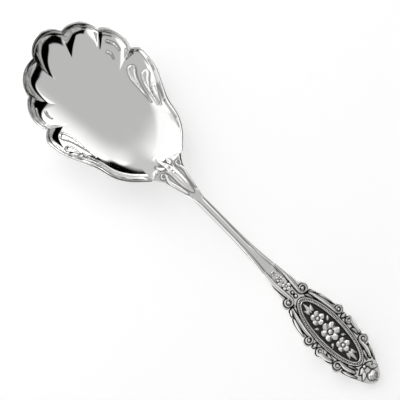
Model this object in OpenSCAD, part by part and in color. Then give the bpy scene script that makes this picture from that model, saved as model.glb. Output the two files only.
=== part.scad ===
// Sugar spoon with a fluted shell bowl, a reeded stem and an oval medallion on its handle.
// The spoon lies on its back along +X: the bowl's rest flat is at the origin, the handle's tip at +X.

/* [Bowl] */
// Length of the bowl from its tip to the seam with the stem
bowl_l = 58.5; // [50:0.5:70]
// Greatest width of the bowl over its rim
bowl_w = 44; // [38:0.5:54]
// Height of the rim above the table at the bowl's sides
rim_h = 6.9; // [5:0.1:10]
// How much higher the rim stands at the tip
tip_rise = 3; // [0:0.1:5]
// How far the rim dips on its way from the sides to the heel
flank_dip = 0.6; // [0:0.1:2]
// Thickness of the bowl's floor
bowl_t = 1.0; // [0.7:0.05:1.6]
// Thickness of the bowl's rim
rim_t = 0.8; // [0.5:0.05:1.4]
// Distance from the bowl's tip to the middle of its rest flat
rest_setback = 31; // [26:0.5:34]
// Width of the flat on the underside that the bowl rests on
rest_w = 8; // [5:0.5:12]

/* [Flutes] */
// Height of a rim lobe as a share of its chord
lobe_share = 0.2; // [0.1:0.01:0.26]
// Share of the depth that the shallow dish of the floor takes
dish_share = 0.55; // [0.3:0.01:0.7]
// Length of that oval dish as a share of the bowl's length
dish_l_share = 1.03; // [0.9:0.01:1.15]
// Width of the dish as a share of the bowl's width
dish_w_share = 0.88; // [0.75:0.01:1]
// Where the wall starts to turn up in the middle of a flute, as a share of the way to the rim
flute_start_share = 0.8; // [0.7:0.01:0.85]
// Share of the way that it takes to turn up there
flute_turn_share = 0.33; // [0.2:0.01:0.4]
// Where the wall starts to turn up on a ridge between flutes, as a share of the way to the rim
ridge_start_share = 0.57; // [0.4:0.01:0.65]
// Share of the way that it takes to turn up there
ridge_turn_share = 0.58; // [0.4:0.01:0.7]

/* [Seam at the heel] */
// Width of the seam between bowl and stem
heel_w = 13.4; // [11:0.2:16]
// Thickness of the seam
heel_t = 1.8; // [1.4:0.1:2.6]
// Height of the top of the seam above the table
heel_z = 7.2; // [6:0.1:10]
// Slope of the stem where it leaves the bowl, in degrees
heel_slope = 3; // [0:0.5:12]

/* [Stem] */
// Length of the stem along the table
stem_l = 46.5; // [38:0.5:60]
// Width of the stem at its narrowest
waist_w = 3.5; // [2.8:0.1:4.5]
// Length over which the seam's flare narrows to the waist
flare_l = 17; // [12:0.5:20]
// Length of the tighter curve in the corner beside the seam
corner_l = 4; // [2:0.5:6]
// Greatest thickness of the stem
stem_t = 2.6; // [2:0.1:3.4]
// Width of each reeded rail along the stem's edges
rail_w = 0.85; // [0.6:0.05:1.1]
// Depth of the channel between the rails
channel_d = 0.35; // [0.2:0.05:0.6]
// Height of the crown across the top of the stem
crown = 0.2; // [0.1:0.05:0.4]

/* [Handle plate] */
// Length of the handle plate from the stem to the tip
plate_l = 51; // [44:0.5:60]
// Greatest width of the handle plate
plate_w = 17.4; // [14:0.2:20]
// Width of the plate where it meets the stem
root_w = 5.6; // [4.6:0.1:6.6]
// Thickness of the plate
plate_t = 1.7; // [1.3:0.1:2.4]
// Slope of the plate down to the table, in degrees
plate_slope = 4.4; // [3:0.1:8]
// Inset of the bevelled back of the plate
back_bevel = 0.6; // [0.3:0.1:1]

/* [Medallion] */
// Length of the medallion inside its frame as a share of the plate's length
medallion_l_share = 0.515; // [0.4:0.005:0.54]
// Width of the medallion inside its frame as a share of the plate's width
medallion_w_share = 0.46; // [0.36:0.01:0.48]
// Depth of the recess that the plaque is set in
plaque_depth = 0.6; // [0.3:0.05:0.8]
// Thickness of the plaque
plaque_t = 0.3; // [0.2:0.05:0.5]
// Width of the oval frame wire
frame_w = 0.45; // [0.3:0.05:0.7]
// Height of the frame wire over the plate
frame_h = 0.6; // [0.4:0.05:1]
// Diameter of a bead in the bead border
bead_d = 0.45; // [0.3:0.05:0.6]
// Distance from bead to bead along the border
bead_pitch = 0.6; // [0.5:0.01:0.9]
// Width of the smooth band outside the beads
band_w = 0.4; // [0.3:0.05:0.7]
// Height of the smooth band over the plate
band_h = 0.45; // [0.2:0.05:0.7]
// Radius of the rosette in the middle of the medallion
rosette_r = 3.4; // [2.4:0.1:3.6]
// Radius of the two blossoms beside the rosette
blossom_r = 2.5; // [1.8:0.1:2.7]

/* [Ornament] */
// Width of a border scroll at its fullest
scroll_w = 1.4; // [1:0.05:1.5]
// Height of the border scrolls over the plate
scroll_h = 1.1; // [0.6:0.05:1.4]
// Height of the leaves over the surface that they lie on
leaf_h = 0.6; // [0.3:0.05:0.9]
// Length of the leaf on the stem behind the seam
neck_leaf_l = 12; // [9:0.5:15]
// Length of the leaf's tip that hangs into the bowl
neck_drop = 4; // [2:0.5:6]
// Width of the middle leaf at the neck
neck_leaf_w = 3; // [2:0.1:3.2]
// Width of the leaves on either side of it
side_leaf_w = 1.3; // [1:0.1:1.5]
// Width of the scrolls at the neck
neck_scroll_w = 1; // [0.6:0.05:1.1]
// Radius of the roll that ends each of them
neck_roll_r = 1; // [0.7:0.05:1.1]
// Radius of the largest flower behind the end of the channel
channel_flower_r = 1.6; // [1.2:0.05:1.7]
// Width of the leaves in the ends of the medallion
end_leaf_w = 1.4; // [1:0.05:1.6]
// Width of the leaves between the medallion and the shell
tip_leaf_w = 1.3; // [0.9:0.05:1.4]
// Width of a rib of the shell at the handle's tip
rib_w = 1.2; // [0.8:0.05:1.4]
// Number of ribs in the shell
shell_ribs = 5; // [3:2:7]

/* [Hidden] */
$fn = 48;

// Clearance between neighbouring ornaments
gap = 0.1;
// Stations along X
tip_x = -rest_setback;
heel_x = tip_x + bowl_l;
plate_x = heel_x + stem_l;
// Height of the plate's top where it meets the stem: its tip rests on the table
plate_z = plate_l * sin(plate_slope) + plate_t * cos(plate_slope);
// Size of the medallion, and its middle along the plate
medallion_l = medallion_l_share * plate_l;
medallion_w = medallion_w_share * plate_w;
medallion_x = 0.563 * plate_l;

silver = [0.80, 0.80, 0.79];
bright_silver = [0.88, 0.88, 0.87];
dark_silver = [0.22, 0.22, 0.22];

// Small helpers

function mix(a, b, t) = a + (b - a) * t;
function smooth(t) = let (c = min(1, max(0, t))) c * c * (3 - 2 * c);
function last(list) = list[len(list) - 1];
function flip(points) = [for (i = [len(points) - 1:-1:0]) [points[i].x, -points[i].y]];

// Point at t on a circular arc from a to b, bulging to the left by bulge times the chord
function arc_point(a, b, bulge, t) =
    bulge == 0 ? mix(a, b, t) :
    let (half = 2 * atan(2 * bulge), turn = half * (2 * t - 1), chord = b - a,
         left = [-chord.y, chord.x])
    a + chord * (sin(turn) + sin(half)) / (2 * sin(half))
      + left * (cos(turn) - cos(half)) / (2 * sin(half));

// Point at t between b and c on the smooth curve through a, b, c and d
function spline_point(a, b, c, d, t) =
    0.5 * (2 * b + (c - a) * t + (2 * a - 5 * b + 4 * c - d) * t * t
           + (3 * b - a - 3 * c + d) * t * t * t);

// Smooth curve through knots, with steps points in each span and the end left out
function spline(knots, steps) =
    let (n = len(knots))
    [for (i = [0:n - 2], k = [0:steps - 1])
        spline_point(knots[max(0, i - 1)], knots[i], knots[i + 1], knots[min(n - 1, i + 2)], k / steps)];

// Spiral path from radius r_start to r_end about an eye, turning by sweep from angle start
function spiral(eye, r_start, r_end, start, sweep, steps) =
    [for (i = [0:steps])
        let (t = i / steps, r = r_start * pow(r_end / r_start, t), a = start + sweep * t)
        eye + r * [cos(a), sin(a)]];

// Low relief: a half-round ridge along a flat path, standing on seat(point)

function path_left(path, i) =
    let (d = path[min(len(path) - 1, i + 1)] - path[max(0, i - 1)], l = norm(d)) [-d.y / l, d.x / l];

module relief(path, half_widths, rises, seat = function(p) 0) {
    // Each ring: a share of the half width to the left, and a share of the rise
    profile = [[1, 0], [0.74, 0.62], [0, 1], [-0.74, 0.62], [-1, 0]];
    m = len(profile);
    n = len(path);
    points = [for (i = [0:n - 1], p = profile)
        let (q = path[i] + path_left(path, i) * half_widths[i] * p.x)
        [q.x, q.y, seat(q) + rises[i] * p.y]];
    sides = [for (i = [0:n - 2], k = [0:m - 1])
        let (a = i * m + k, b = i * m + (k + 1) % m) each [[a, b + m, b], [a, a + m, b + m]]];
    start_cap = [[for (k = [0:m - 1]) k]];
    end_cap = [[for (k = [m - 1:-1:0]) (n - 1) * m + k]];
    polyhedron(points, concat(sides, start_cap, end_cap));
}

// A scroll: its tail runs smoothly through knots and then rolls up round an eye
module scroll(tail, eye, r, start, turn, width, rise, seat = function(p) 0) {
    roll = spiral(eye, r, 0.6 * r, start, turn, 13);
    path = concat(spline(concat(tail, [roll[0]]), 4), roll);
    n = len(path) - 1;
    // The tail is full, and the roll is as narrow as the tail's start
    swell = [for (i = [0:n]) 0.4 + 0.6 * sin(180 * min(1, i / n / 0.55))];
    relief(path, swell * width / 2, [for (s = swell) rise * (0.6 + 0.4 * s)], seat);
}

// A pointed leaf along a bowed path from a to b
module leaf(a, b, bow, width, rise, seat = function(p) 0, steps = 6) {
    path = [for (i = [0:steps]) arc_point(a, b, bow, i / steps)];
    swell = [for (i = [0:steps]) 0.12 + 0.88 * sin(180 * pow(i / steps, 0.75))];
    relief(path, swell * width / 2, [for (s = swell) rise * (0.4 + 0.6 * s)], seat);
}

// A round boss with a domed top
module dome(r, rise) {
    rotate_extrude($fn = 16)
        polygon([[0, 0], [r, 0], [0.9 * r, 0.55 * rise], [0.5 * r, 0.92 * rise], [0, rise]]);
}

// A flower: a thin base disc, petals round it and a domed heart
module flower(r, petals, rise) {
    base_t = 0.3 * rise;
    heart_r = 0.34 * r;
    cylinder(r = 0.62 * r, h = base_t);
    for (i = [0:petals - 1])
        rotate(360 / petals * i)
            leaf([0.38 * r, 0], [r, 0], 0, 1.1 * r * tan(180 / petals), 0.85 * rise, steps = 4);
    dome(heart_r, rise);
}

// Bowl

// Cusps where the lobes of the rim meet, as shares of the bowl's length and half width
cusp_1 = [0.069, 0.297];
cusp_2 = [0.198, 0.733];
cusp_3 = [0.396, 0.876];
// Flank of the rim from the last cusp to the heel
flank = [cusp_3, [0.428, 0.975], [0.467, 1], [0.56, 0.955], [0.67, 0.814],
         [0.736, 0.733], [0.835, 0.667], [0.918, 0.53], [1, heel_w / bowl_w]];
// Station of the soft ridge between the side flute and the heel flute, and how much flute is left on it
flank_ridge = 0.69;
ridge_flute = 0.72;
// Depth of the flute at the tip, at the middle of the seam and at its corners, against the other flutes
tip_flute = 0.6;
heel_flute = 0.8;
corner_flute = 0.45;
// Sharpness of the ridges between flutes, and of the dish's edge
flute_power = 1.15;
dish_power = 2.3;

function rim_place(p) = [tip_x + p.x * bowl_l, p.y * bowl_w / 2];

// How far a rim point lies into its flute: 0 on a ridge, 1 in the middle of a flute
function flute_swell(t) = pow(max(0, sin(180 * t)), flute_power);
function flank_swell(f) =
    f < flank_ridge
        ? let (t = (f - cusp_3.x) / (flank_ridge - cusp_3.x))
          mix(t < 0.5 ? 0 : ridge_flute, 1, flute_swell(t))
        : let (t = (f - flank_ridge) / (1 - flank_ridge))
          mix(ridge_flute, corner_flute, flute_swell(min(0.5, t)));
// Along the seam the flute deepens from its corners to the middle
function seam_swell(y) = mix(heel_flute, corner_flute, y * y);

// Half of the rim from the tip to the heel, each point as [x, y, flute, side, seam]:
// side turns the wall's outward direction to the side near the seam, seam is 1 on the seam itself
lobe_steps = 8;
function lobe(a, b, bulge, from = 0, depth = 1) =
    [for (i = [from:lobe_steps - 1])
        let (t = i / lobe_steps, p = arc_point(a, b, bulge, t)) [p.x, p.y, depth * flute_swell(t), 0, 0]];
rim_half =
    let (a = rim_place(cusp_1), b = rim_place(cusp_2), c = rim_place(cusp_3))
    concat(
        lobe([a.x, -a.y], a, (a.x - tip_x) / (2 * a.y), lobe_steps / 2, tip_flute),
        lobe(a, b, lobe_share),
        lobe(b, c, lobe_share),
        [for (p = spline(flank, 3)) let (q = rim_place(p))
            [q.x, q.y, flank_swell(p.x), smooth((p.x - 0.8) / 0.2), 0]],
        [[heel_x, heel_w / 2, seam_swell(1), 1, 0]],
        [for (y = [0.8, 0.4]) [heel_x, y * heel_w / 2, seam_swell(y), 1, 1]]);

// The whole rim, once round from the tip
heel_middle = [heel_x, 0, heel_flute, 1, 1];
rim = concat(rim_half, [heel_middle],
             [for (i = [len(rim_half) - 1:-1:1])
                 let (p = rim_half[i]) [p.x, -p.y, p[2], p[3], p[4]]]);

// Height of the rim: it lifts towards the tip, and dips on its way to the seam at the heel
function rim_z(x) =
    x < 0 ? rim_h + tip_rise * pow(x / tip_x, 2)
          : let (t = min(1, x / heel_x))
            mix(rim_h, heel_z, smooth(t)) - flank_dip * pow(sin(180 * t), 2);

// Rise of a wall that turns up smoothly between 0 and 1 and then runs straight on
function turn_up(t) = t < 0 ? 0 : t < 1 ? t * t * t * (1 - t / 2) : t - 0.5;

// Reach of a rim point over the oval dish, 1 on the dish's own edge, and the dish's rise up to that point
function dish_reach(p) =
    norm([p.x / (p.x < 0 ? tip_x : heel_x) / dish_l_share, p.y / (bowl_w / 2) / dish_w_share]);
function dish_rise(p) =
    let (reach = dish_reach(p)) dish_share * (rim_z(p.x / reach) - bowl_t) * pow(reach, dish_power);

// Height at v from the middle of the bowl to its rim, for a rim point and the heights at both ends:
// an oval dish round a flat, and a wall that starts further out in a flute than on a ridge
function bowl_z(p, v, low, high, flat = 0) =
    let (start = mix(ridge_start_share, flute_start_share, p[2]),
         turn = mix(ridge_turn_share, flute_turn_share, p[2]),
         dish = max(0, pow(v, dish_power) - pow(flat, dish_power)) / (1 - pow(flat, dish_power)),
         wall = turn_up((v - start) / turn) / turn_up((1 - start) / turn))
    mix(low + dish_rise(p) * dish, high - dish_rise(p) * (1 - dish), wall);

function inner_point(p, v) = [p.x * v, p.y * v, bowl_z(p, v, bowl_t, rim_z(p.x))];

// The rest flat ends at this share of the way to the rim
rest_share = rest_w / bowl_w;

// Outside, the wall stands one rim thickness out from the rim, and hangs under it at the seam
function outer_point(p, v) =
    let (q = [p.x, p.y], away = mix(q / norm(q), [0, sign(p.y)], p[3]),
         edge = q + away * rim_t * (1 - p[4]), high = rim_z(p.x) - p[4] * heel_t)
    [edge.x * v, edge.y * v, bowl_z(p, v, 0, high, rest_share)];

module bowl() {
    rings = 14;
    n = len(rim);
    // Rings lie closer together towards the rim
    inside = [[0, 0, bowl_t],
              for (k = [1:rings], p = rim) inner_point(p, pow(k / rings, 0.7))];
    outside = [[0, 0, 0],
               for (k = [0:rings - 1], p = rim)
                   outer_point(p, mix(rest_share, 1, pow(k / (rings - 1), 0.7)))];
    base = len(inside);
    // Faces of one skin: a fan round the middle, then rings; turned over for the outside
    function skin(first, turn) = [
        for (i = [0:n - 1]) let (j = (i + 1) % n) turn ? [first, first + 1 + j, first + 1 + i]
                                                        : [first, first + 1 + i, first + 1 + j],
        for (k = [0:rings - 2], i = [0:n - 1])
            let (a = first + 1 + k * n + i, b = first + 1 + k * n + (i + 1) % n)
            each turn ? [[a, b + n, a + n], [a, b, b + n]] : [[a, a + n, b + n], [a, b + n, b]]];
    edge = [for (i = [0:n - 1])
        let (j = (i + 1) % n, a = 1 + (rings - 1) * n)
        // The diagonal of each quad leans the same way on both sides of the bowl
        each i < n / 2 ? [[a + i, base + a + j, a + j], [a + i, base + a + i, base + a + j]]
                       : [[a + i, base + a + i, a + j], [base + a + i, base + a + j, a + j]]];
    color(bright_silver)
        polyhedron(concat(inside, outside), concat(skin(0, false), skin(base, true), edge));
}

// Stem

waist_x = heel_x + 0.55 * stem_l;

function stem_half_w(x) =
    let (flare = 0.75 * pow(max(0, 1 - (x - heel_x) / flare_l), 1.5)
                 + 0.25 * pow(max(0, 1 - (x - heel_x) / corner_l), 2))
    waist_w / 2 + (heel_w - waist_w) / 2 * flare
    + (root_w - waist_w) / 2 * pow(max(0, (x - waist_x) / (plate_x - waist_x)), 2.2);

// Top line of the stem: an arch that leaves the seam rising and meets the plate on its slope
function stem_z(x) =
    let (t = (x - heel_x) / stem_l, t2 = t * t, t3 = t2 * t)
    (2 * t3 - 3 * t2 + 1) * heel_z + (t3 - 2 * t2 + t) * stem_l * tan(heel_slope)
    + (3 * t2 - 2 * t3) * plate_z - (t3 - t2) * stem_l * tan(plate_slope);

function stem_thickness(x) =
    let (t = (x - heel_x) / stem_l) mix(heel_t, plate_t, t)
    + (stem_t - max(heel_t, plate_t)) * sin(180 * t);

// The channel starts behind the ornament at the seam and deepens over this length
channel_run = 4;
function channel_at(x) = channel_d * smooth((x - heel_x - neck_leaf_l) / channel_run);
function channel_half_w(x) =
    stem_half_w(x)
    - rail_w * mix(1, root_w / waist_w, smooth((x - waist_x) / (plate_x - waist_x)));

// Fall of the crowned top at y from the middle
function crown_drop(x, y) = crown * pow(y / stem_half_w(x), 2);

// Right half of the stem's section from the middle of the top to the middle of the back
function stem_section(x) =
    let (w = stem_half_w(x), c = channel_half_w(x), d = channel_at(x), t = stem_thickness(x),
         inner = mix(c, w, 0.25), outer = mix(c, w, 0.65))
    [[0, -d], [c, -d - crown_drop(x, c)], [inner, -crown_drop(x, inner)], [outer, -crown_drop(x, outer)],
     [w, -0.35 * t], [0.95 * w, -0.6 * t], [0.7 * w, -0.92 * t], [0, -t]];

module stem() {
    stations = 30;
    half = len(stem_section(heel_x));
    m = 2 * half - 2;
    points = [for (i = [0:stations])
        let (u = i / stations, x = heel_x + stem_l * u, lean = plate_slope * smooth(u),
             s = stem_section(x),
             ring = concat(s, [for (k = [half - 2:-1:1]) [-s[k].x, s[k].y]]))
        for (p = ring) [x + p.y * sin(lean), p.x, stem_z(x) + p.y * cos(lean)]];
    sides = [for (i = [0:stations - 1], k = [0:m - 1])
        let (a = i * m + k, b = i * m + (k + 1) % m) each [[a, b, b + m], [a, b + m, a + m]]];
    start_cap = [[for (k = [m - 1:-1:0]) k]];
    end_cap = [[for (k = [0:m - 1]) stations * m + k]];
    color(silver) polyhedron(points, concat(sides, start_cap, end_cap));
}

// Ornament over the seam

// It lies on the crowned top of the stem's flare, and on the bowl in front of the seam
function on_flare(p) =
    p.x > heel_x ? stem_z(p.x) - crown_drop(p.x, p.y)
                 : bowl_z(heel_middle, p.x / heel_x, bowl_t, heel_z);

module neck_leaf() {
    root = heel_x + neck_leaf_l;
    color(silver) {
        leaf([root, 0], [heel_x - neck_drop, 0], 0, neck_leaf_w, 1.3 * leaf_h,
             function(p) on_flare(p), 10);
        for (side = [-1, 1])
            leaf([root - neck_leaf_l / 4, side * 0.35 * neck_leaf_w],
                 [heel_x + gap, side * 0.62 * neck_leaf_w],
                 side * 0.07, side_leaf_w, leaf_h, function(p) on_flare(p), 8);
    }
}

// Point on the flare inside its edge, at d behind the seam
function flare_edge(d, inset) = [heel_x + d, stem_half_w(heel_x + d) - inset];

module neck_scrolls() {
    r = neck_roll_r;
    eye = flare_edge(r + 0.75 * neck_scroll_w, r + 0.7 * neck_scroll_w);
    tail = [for (d = [0.92, 0.62, 0.38]) flare_edge(d * neck_leaf_l, 0.75 * neck_scroll_w)];
    color(silver)
        for (side = [-1, 1])
            scroll([for (p = tail) [p.x, side * p.y]], [eye.x, side * eye.y], r, side * -60, side * -310,
                   neck_scroll_w, leaf_h, function(p) on_flare(p));
}

// Handle plate: all its ornament is made flat, with x from the stem to the tip, and set on its slope

module on_plate() translate([plate_x, 0, plate_z]) rotate([0, plate_slope, 0]) children();

// Half outline of the plate, as shares of its length and half width
plate_knots = [[0, root_w / plate_w], [0.095, 0.39], [0.21, 0.5], [0.3, 0.66], [0.375, 0.83],
               [0.46, 0.9], [0.55, 0.95], [0.665, 0.93], [0.76, 0.855], [0.855, 0.675],
               [0.93, 0.46], [0.975, 0.31], [1, 0.13]];

// Border scrolls of one side: knots of the tail and the eye as shares of the plate's length and
// half width, then the radius of the roll as a share of the half width, its start and its turn
border = [
    [[[0.015, 0.26], [0.1, 0.29], [0.17, 0.265]], [0.24, 0.4], 0.18, -100, 330],
    [[[0.285, 0.46], [0.34, 0.555], [0.4, 0.64], [0.455, 0.69]], [0.5, 0.84], 0.15, -100, 330],
    [[[0.7, 0.79], [0.665, 0.85], [0.63, 0.885]], [0.6, 0.825], 0.13, 80, 300],
    [[[0.858, 0.43], [0.835, 0.5], [0.8, 0.57]], [0.745, 0.735], 0.16, -75, -330]
];
// Leaves of one side: both ends as shares of the plate, the bow, and the width as a share of a scroll's
border_sprays = [
    [[0.283, 0.53], [0.32, 0.67], 0, 0.5], [[0.278, 0.3], [0.335, 0.42], 0.05, 0.5],
    [[0.335, 0.675], [0.46, 0.87], 0.03, 0.65], [[0.552, 0.7], [0.552, 0.95], 0, 0.75],
    [[0.645, 0.68], [0.7, 0.7], 0.1, 0.6], [[0.79, 0.42], [0.855, 0.27], 0.05, 0.5],
    [[0.792, 0.74], [0.888, 0.51], 0.03, 0.6]
];

function plate_place(p) = [p.x * plate_l, p.y * plate_w / 2];

module plate_outline(inset) {
    half = [for (p = spline(plate_knots, 3)) let (q = plate_place(p)) [q.x, q.y - inset]];
    tip = [plate_l - inset, 0];
    polygon(concat(half, [tip], flip(half)));
    // Rounded bumps of the outline behind the rolls
    for (b = border, side = [-1, 1])
        let (eye = plate_place(b[1]))
        translate([eye.x, side * eye.y]) circle(r = b[2] * plate_w / 2 + scroll_w / 2 - inset);
}

// Points of an oval with half axes a and b
oval_steps = 72;
oval_step = 360 / oval_steps;
function oval_point(a, b, turn) = [a * cos(turn), b * sin(turn)];
function oval(a, b) = [for (i = [0:oval_steps - 1]) oval_point(a, b, oval_step * i)];
// Length walked along the oval from its end, against the turn reached
function oval_walk(a, b) =
    [for (i = 0, s = 0; i <= oval_steps; i = i + 1,
          s = s + norm(oval_point(a, b, oval_step * i) - oval_point(a, b, oval_step * (i - 1))))
        [s, oval_step * i]];

module handle_plate() {
    bevel_t = 0.35 * plate_t;
    channel_l = 0.12 * plate_l;
    c = channel_half_w(plate_x);
    color(silver) on_plate()
        difference() {
            union() {
                translate([0, 0, bevel_t - plate_t]) linear_extrude(plate_t - bevel_t) plate_outline(0);
                translate([0, 0, -plate_t]) linear_extrude(bevel_t) plate_outline(back_bevel);
            }
            translate([0, 0, -channel_d]) linear_extrude(plate_t)
                polygon([[-gap, -c], [0.8 * channel_l, -c], [channel_l, 0],
                         [0.8 * channel_l, c], [-gap, c]]);
            translate([medallion_x, 0, -plaque_depth]) linear_extrude(plate_t)
                polygon(oval(medallion_l / 2, medallion_w / 2));
        }
}

// Flowers in and behind the end of the channel, and beads between them and the medallion

module channel_flowers() {
    // Place along the plate as a share of its length, size as a share of the largest, depth of the seat
    color(silver) on_plate()
        for (f = [[0.045, 0.6, channel_d], [0.093, 0.75, channel_d], [0.158, 1, 0]])
            translate([f.x * plate_l, 0, -f.z]) flower(f.y * channel_flower_r, 5, f.z + leaf_h);
}

module axis_beads() {
    // Place along the plate as a share of its length, and radius as a share of a border bead's diameter
    color(silver) on_plate()
        for (f = [[0.215, 1], [0.245, 1.2], [0.875, 1.35]])
            translate([f.x * plate_l, 0, 0]) dome(f.y * bead_d, 0.8 * scroll_h);
}

// Border of scrolls and leaves round the plate, one side at a time

module one_side(side) on_plate() mirror([0, side < 0 ? 1 : 0, 0]) children();

module border_scrolls(side) {
    color(silver) one_side(side)
        for (b = border)
            scroll([for (p = b[0]) plate_place(p)], plate_place(b[1]), b[2] * plate_w / 2, b[3], b[4],
                   scroll_w, scroll_h);
}

module border_leaves(side) {
    color(silver) one_side(side)
        for (b = border_sprays)
            leaf(plate_place(b[0]), plate_place(b[1]), b[2], b[3] * scroll_w, 0.8 * scroll_h);
}

// Medallion

module medallion_plaque() {
    color(dark_silver) on_plate()
        translate([medallion_x, 0, -plaque_depth]) linear_extrude(plaque_t)
            polygon(oval(medallion_l / 2 - gap / 3, medallion_w / 2 - gap / 3));
}

// A ring round the medallion, from a distance outside its edge, with a chamfered outer top
module oval_ring(out, width, rise) {
    function edge(d) = oval(medallion_l / 2 + d, medallion_w / 2 + d);
    linear_extrude(0.6 * rise)
        difference() {
            polygon(edge(out + width));
            polygon(edge(out));
        }
    translate([0, 0, 0.6 * rise]) linear_extrude(0.4 * rise)
        difference() {
            polygon(edge(out + 0.8 * width));
            polygon(edge(out + 0.2 * width));
        }
}

module medallion_frame() {
    color(bright_silver) on_plate()
        translate([medallion_x, 0, 0]) oval_ring(0, frame_w, frame_h);
}

// The bead border stands outside the frame, and the smooth band outside the beads
bead_line = frame_w + gap + bead_d / 2;
band_line = bead_line + bead_d / 2 + gap;

module bead_border() {
    a = medallion_l / 2 + bead_line;
    b = medallion_w / 2 + bead_line;
    walk = oval_walk(a, b);
    bead_count = round(last(walk).x / bead_pitch);
    color(silver) on_plate()
        translate([medallion_x, 0, 0])
            for (i = [0:bead_count - 1])
                translate(oval_point(a, b, lookup(last(walk).x / bead_count * i, walk)))
                    dome(0.48 * bead_d, bead_d / 2);
}

module oval_band() {
    color(silver) on_plate()
        translate([medallion_x, 0, 0]) oval_ring(band_line, band_w, band_h);
}

module on_plaque() on_plate() translate([medallion_x, 0, plaque_t - plaque_depth]) children();

module medallion_rosette() {
    color(bright_silver) on_plaque() flower(rosette_r, 6, plaque_depth + leaf_h);
}

module medallion_blossoms() {
    reach = rosette_r + blossom_r + gap;
    color(bright_silver) on_plaque()
        for (side = [-1, 1])
            translate([side * reach, 0, 0]) flower(blossom_r, 5, plaque_depth + 0.7 * leaf_h);
}

module medallion_leaves() {
    root = rosette_r + 2 * blossom_r + 2 * gap;
    end = medallion_l / 2 - 3 * gap;
    color(bright_silver) on_plaque()
        for (side = [-1, 1]) mirror([side < 0 ? 1 : 0, 0, 0]) {
            leaf([root, 0], [end, 0], 0, end_leaf_w, leaf_h);
            for (up = [-1, 1])
                {
                    leaf([root, up * 0.75 * end_leaf_w], [mix(root, end, 0.55), up * 1.3 * end_leaf_w],
                         up * -0.15, 0.8 * end_leaf_w, leaf_h);
                    // A small leaf above and below the gap between rosette and blossom
                    leaf(rosette_r * [0.92, up * 0.6], rosette_r * [1.3, up * 0.98], 0,
                         0.75 * end_leaf_w, leaf_h);
                }
        }
}

// Leaves and a shell at the handle's tip

module tip_leaves() {
    // Both ends as shares of the plate, and the bow
    leaves = [[[0.868, 0.11], [0.888, 0.36], -0.2], [[0.893, 0.15], [0.93, 0.43], -0.1]];
    color(silver) on_plate()
        for (side = [-1, 1], b = leaves)
            leaf(plate_place([b[0].x, side * b[0].y]), plate_place([b[1].x, side * b[1].y]), side * b[2],
                 tip_leaf_w, scroll_h);
}

module tip_shell() {
    root = [0.9 * plate_l, 0];
    spread = 26;
    reach = 0.992 * plate_l - root.x;
    color(silver) on_plate()
        for (i = [0:shell_ribs - 1])
            let (a = spread * (2 * i / (shell_ribs - 1) - 1), l = reach * (1 - 0.2 * abs(a) / spread))
            leaf(root + 0.3 * reach * [cos(a), sin(a)], root + l * [cos(a), sin(a)], 0,
                 rib_w, 0.9 * scroll_h);
}

bowl();
stem();
neck_leaf();
neck_scrolls();
handle_plate();
channel_flowers();
axis_beads();
border_scrolls(1);  // border_scrolls_left
border_scrolls(-1);  // border_scrolls_right
border_leaves(1);  // border_leaves_left
border_leaves(-1);  // border_leaves_right
medallion_plaque();
medallion_frame();
bead_border();
oval_band();
medallion_rosette();
medallion_blossoms();
medallion_leaves();
tip_leaves();
tip_shell();
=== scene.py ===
import math

import bpy
import numpy as np
from mathutils import Matrix


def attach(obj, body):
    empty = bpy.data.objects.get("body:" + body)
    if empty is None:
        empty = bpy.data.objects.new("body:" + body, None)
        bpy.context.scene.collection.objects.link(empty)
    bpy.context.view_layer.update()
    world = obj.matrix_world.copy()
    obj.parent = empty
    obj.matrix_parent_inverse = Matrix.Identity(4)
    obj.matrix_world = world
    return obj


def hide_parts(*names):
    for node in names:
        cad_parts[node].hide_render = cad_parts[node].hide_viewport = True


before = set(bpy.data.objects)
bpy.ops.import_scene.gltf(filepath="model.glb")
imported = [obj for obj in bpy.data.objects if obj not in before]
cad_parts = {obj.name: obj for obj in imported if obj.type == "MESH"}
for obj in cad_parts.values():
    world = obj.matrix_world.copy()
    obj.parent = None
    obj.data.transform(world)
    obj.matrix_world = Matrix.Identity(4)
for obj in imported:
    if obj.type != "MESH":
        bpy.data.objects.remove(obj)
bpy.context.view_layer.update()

# Sizes of the spoon in millimetres and degrees, as in the part's source. The bowl's rest flat is at the origin,
# +X runs to the handle's tip and +Z is up.
MM = 0.001
# Bowl: wall and rim, heel at the seam with the stem, dish of the floor, lobes and flutes
BOWL_L, BOWL_W, RIM_H, TIP_RISE, FLANK_DIP, FLOOR_T, RIM_T = 58.5, 44.0, 6.9, 3.0, 0.6, 1.0, 0.8
TIP_X = -31.0
HEEL_X, HEEL_W, HEEL_T, HEEL_Z, HEEL_SLOPE = TIP_X + BOWL_L, 13.4, 1.8, 7.2, 3.0
DISH_SHARE, DISH_L_SHARE, DISH_W_SHARE, DISH_POWER, REST_W = 0.55, 1.03, 0.88, 2.3, 8.0
LOBE_SHARE, FLUTE_START, FLUTE_TURN, RIDGE_START, RIDGE_TURN = 0.2, 0.8, 0.33, 0.57, 0.58
TIP_FLUTE, RIDGE_FLUTE, HEEL_FLUTE, CORNER_FLUTE, FLUTE_POWER = 0.6, 0.72, 0.8, 0.45, 1.15
# Stem: waist, flare to the seam, rails beside the channel, and the crown of its top
STEM_L, WAIST_W, FLARE_L, CORNER_L, STEM_T = 46.5, 3.5, 17.0, 4.0, 2.6
RAIL_W, CHANNEL_D, CROWN = 0.85, 0.35, 0.2
# Handle plate
PLATE_X, PLATE_L, PLATE_W, ROOT_W, PLATE_T, PLATE_SLOPE = HEEL_X + STEM_L, 51.0, 17.4, 5.6, 1.7, 4.4
PLATE_Z = PLATE_L * math.sin(math.radians(PLATE_SLOPE)) + PLATE_T * math.cos(math.radians(PLATE_SLOPE))
BACK_BEVEL = 0.6
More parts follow.
